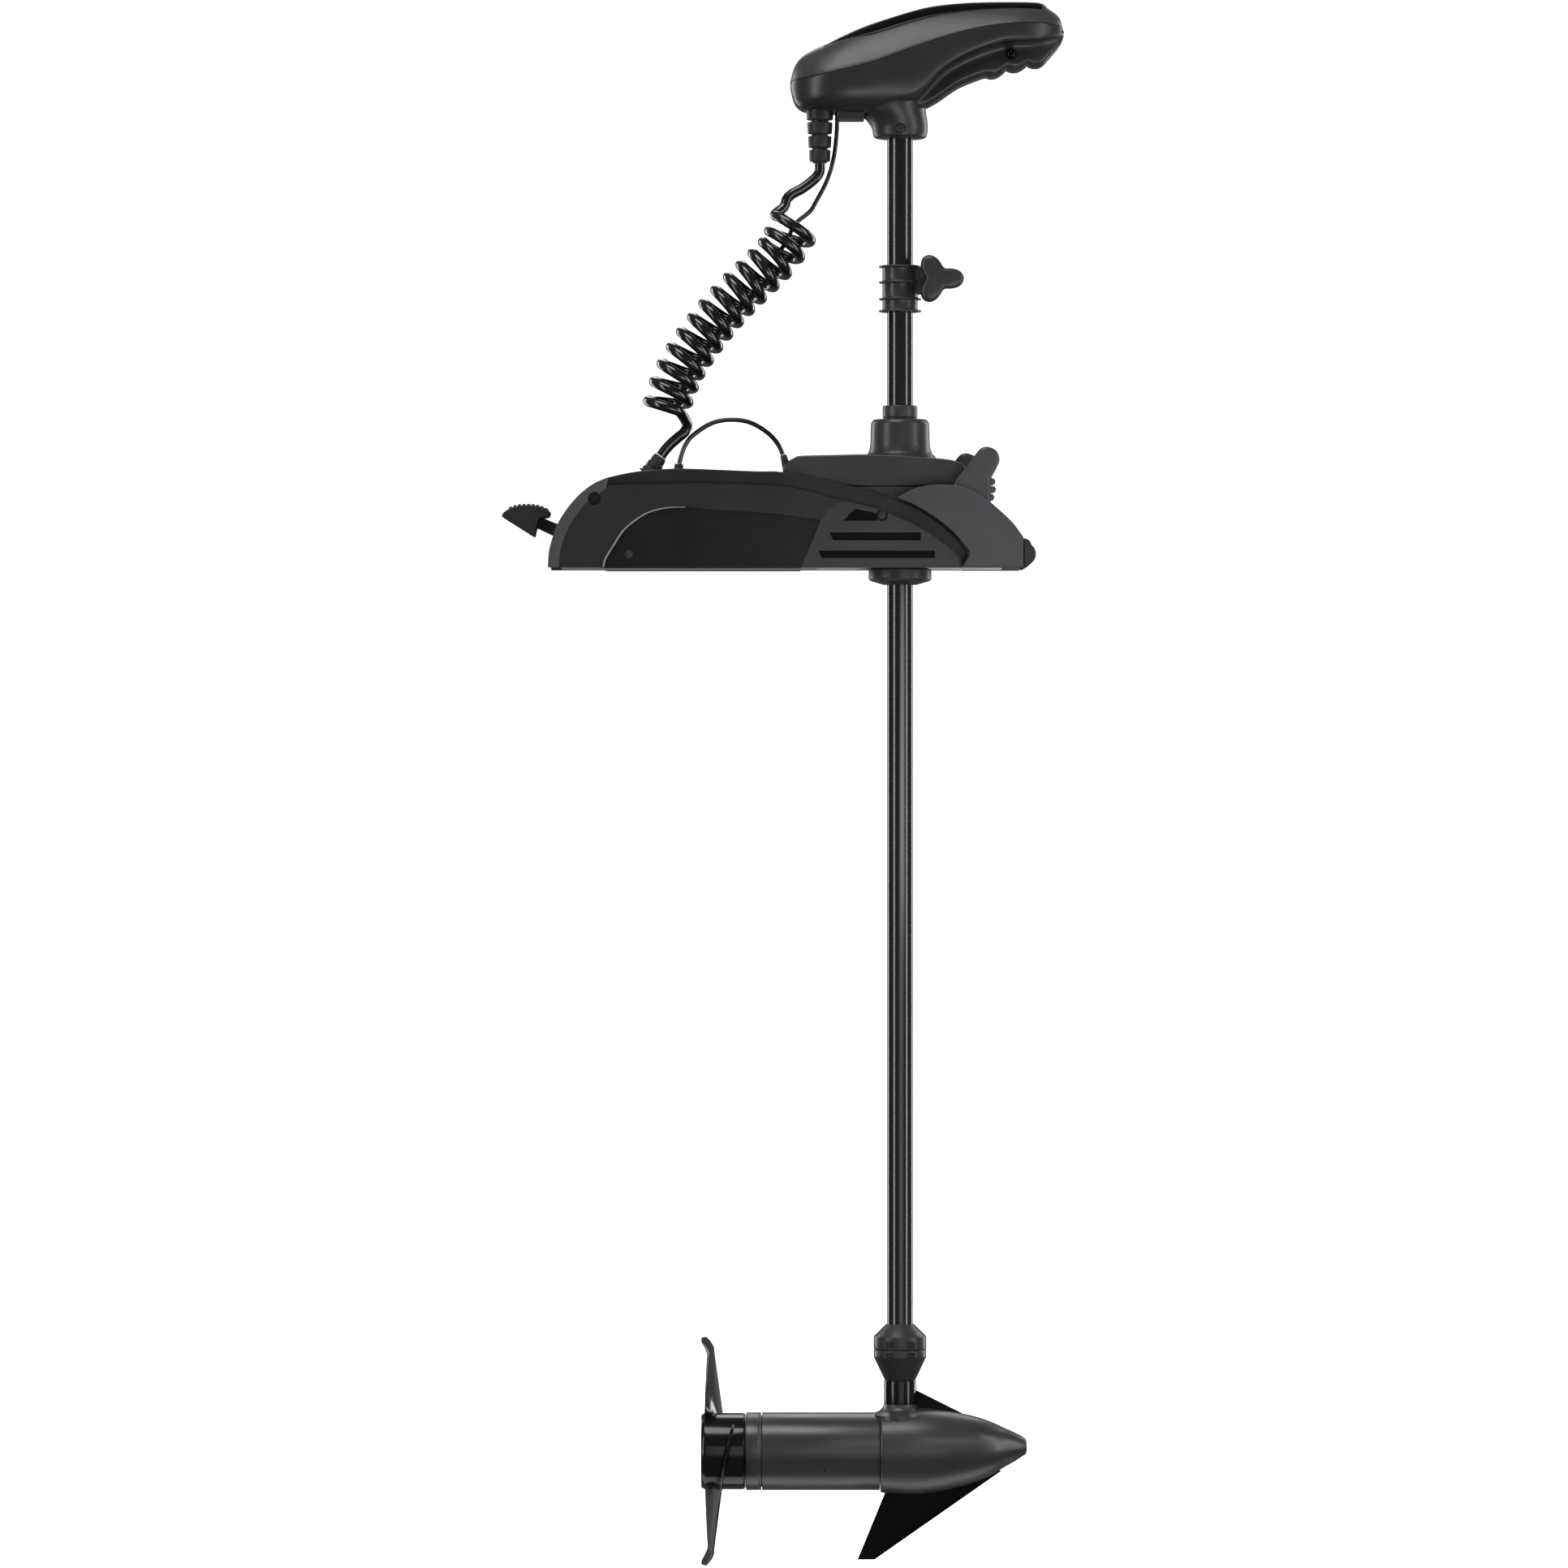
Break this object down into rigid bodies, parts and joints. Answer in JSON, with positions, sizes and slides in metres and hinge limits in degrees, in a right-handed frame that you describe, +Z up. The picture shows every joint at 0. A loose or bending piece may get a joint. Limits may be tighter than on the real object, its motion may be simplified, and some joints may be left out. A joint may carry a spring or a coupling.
{
  "type": "trolling motor",
  "caption": "Bow-mount electric trolling motor with a tilting steering housing, long shaft, coiled cord, steering head and a submerged propeller motor.",
  "frame": {"origin": "on the deck plane, under the mount, on its centre plane; the mount's underside is Z = 0", "axes": "+Z up along the shaft, +X forward over the bow, Y across the boat"},
  "size_m": [0.6501, 0.168, 1.8106],
  "materials": {
    "housing_plastic": "fine moulded grain, satin",
    "frame_plastic": "fine moulded grain, dark satin",
    "ramp_plastic": "fine moulded grain, satin",
    "panel_gloss": "gloss black overlay",
    "propeller_plastic": "gloss black",
    "shaft_composite": "semi-gloss black composite",
    "motor_paint": "satin dark grey powder coat",
    "black_rubber": "matt",
    "cord_jacket": "semi-gloss polyurethane jacket",
    "extrusion": "dark anodised",
    "steel": "ground",
    "bronze": "machined",
    "copper": "wound and lacquered",
    "magnet": "sintered",
    "board": "solder mask"
  },
  "bodies": {
    "base": {"base_extrusion": "extrusion", "side_frame_near": "frame_plastic", "side_frame_far": "frame_plastic", "side_plate_near": "housing_plastic", "side_plate_far": "housing_plastic", "motor_ramp_near": "ramp_plastic", "motor_ramp_far": "ramp_plastic", "bow_bumper_near": "black_rubber", "bow_bumper_far": "black_rubber", "rear_cover": "frame_plastic", "coil_cord_gland": "black_rubber", "loop_cable_gland": "black_rubber", "tilt_pivot_pin": "steel", "rear_tie_rod": "steel", "lever_pivot_pin": "steel", "latch_spring": "steel", "coil_cord_tail": "cord_jacket", "loop_cable": "cord_jacket"},
    "release_lever": {"release_lever_arm": "frame_plastic", "release_lever_pad": "frame_plastic"},
    "latch": {"latch_bolt": "steel"},
    "steering_housing": {"housing_tub": "housing_plastic", "housing_cover": "housing_plastic", "lower_bearing_collar": "housing_plastic", "steering_motor": "steel", "sleeve_bearing_upper": "steel", "sleeve_bearing_lower": "steel", "loop_cable_boot": "black_rubber", "coil_cord_coil": "cord_jacket"},
    "pinion": {"steering_pinion": "steel"},
    "drive_sleeve": {"steering_sleeve": "frame_plastic", "drive_gear": "bronze", "coil_cord_lead": "cord_jacket"},
    "shaft": {"shaft_tube": "shaft_composite", "motor_lead_wires": "copper", "head_lower_housing": "housing_plastic", "head_upper_cover": "housing_plastic", "head_top_panel": "panel_gloss", "head_circuit_board": "board", "head_clamp_screw": "steel", "strain_relief": "black_rubber", "shaft_clamp_upper": "frame_plastic", "shaft_clamp_lower": "frame_plastic", "motor_nose_housing": "motor_paint", "motor_centre_housing": "motor_paint", "motor_end_bell": "motor_paint", "magnet_near": "magnet", "magnet_far": "magnet", "bearing_front": "bronze", "bearing_rear": "bronze", "brush_plate": "frame_plastic", "coil_cord_riser": "cord_jacket", "sonar_cable": "cord_jacket"},
    "propeller_rotor": {"armature": "copper", "propeller_shaft": "steel", "drive_pin": "steel", "propeller": "propeller_plastic", "propeller_nut": "steel"},
    "depth_collar": {"depth_collar": "housing_plastic"},
    "depth_knob": {"depth_knob": "housing_plastic"}
  },
  "joints": [
    {"name": "stow_tilt", "type": "hinge", "parent": "base", "child": "steering_housing", "pos_m": [0.1241, 0, 0.0837], "axis": [0, -1, 0], "range_deg": [0, 90], "deforming": ["coil_cord_tail", "coil_cord_coil", "loop_cable"]},
    {"name": "steer", "type": "hinge", "parent": "steering_housing", "child": "drive_sleeve", "pos_m": [0.2265, 0, 0], "axis": [0, 0, 1], "range_deg": [-180, 180], "deforming": ["coil_cord_lead"]},
    {"name": "pinion_turn", "type": "hinge", "parent": "steering_housing", "child": "pinion", "pos_m": [0.1854, 0, 0.062], "axis": [0, 0, 1], "range_deg": [-730, 730]},
    {"name": "depth_slide", "type": "slide", "parent": "drive_sleeve", "child": "shaft", "axis": [0, 0, 1], "range_m": [-0.105, 0.85], "deforming": ["coil_cord_riser", "sonar_cable"]},
    {"name": "collar_slide", "type": "slide", "parent": "shaft", "child": "depth_collar", "axis": [0, 0, 1], "range_m": [0, 0.125]},
    {"name": "knob_turn", "type": "hinge", "parent": "depth_collar", "child": "depth_knob", "pos_m": [0.27, 0, 0.3346], "axis": [0, 1, 0], "range_deg": [-180, 180]},
    {"name": "propeller_spin", "type": "hinge", "parent": "shaft", "child": "propeller_rotor", "pos_m": [0.1, 0, -1.0218], "axis": [1, 0, 0], "continuous": true},
    {"name": "release_lever", "type": "hinge", "parent": "base", "child": "release_lever", "pos_m": [-0.0865, 0, 0.015], "axis": [0, -1, 0], "range_deg": [0, 15], "stiffness_Nm_per_rad": 4, "springref_deg": -8.59},
    {"name": "latch_slide", "type": "slide", "parent": "base", "child": "latch", "axis": [-1, 0, 0], "range_m": [0, 0.017]}
  ],
  "couplings": [
    {"joint": "pinion_turn", "follows": "steer", "ratio": -4},
    {"joint": "latch_slide", "follows": "release_lever", "m_per_rad": 0.06}
  ]
}
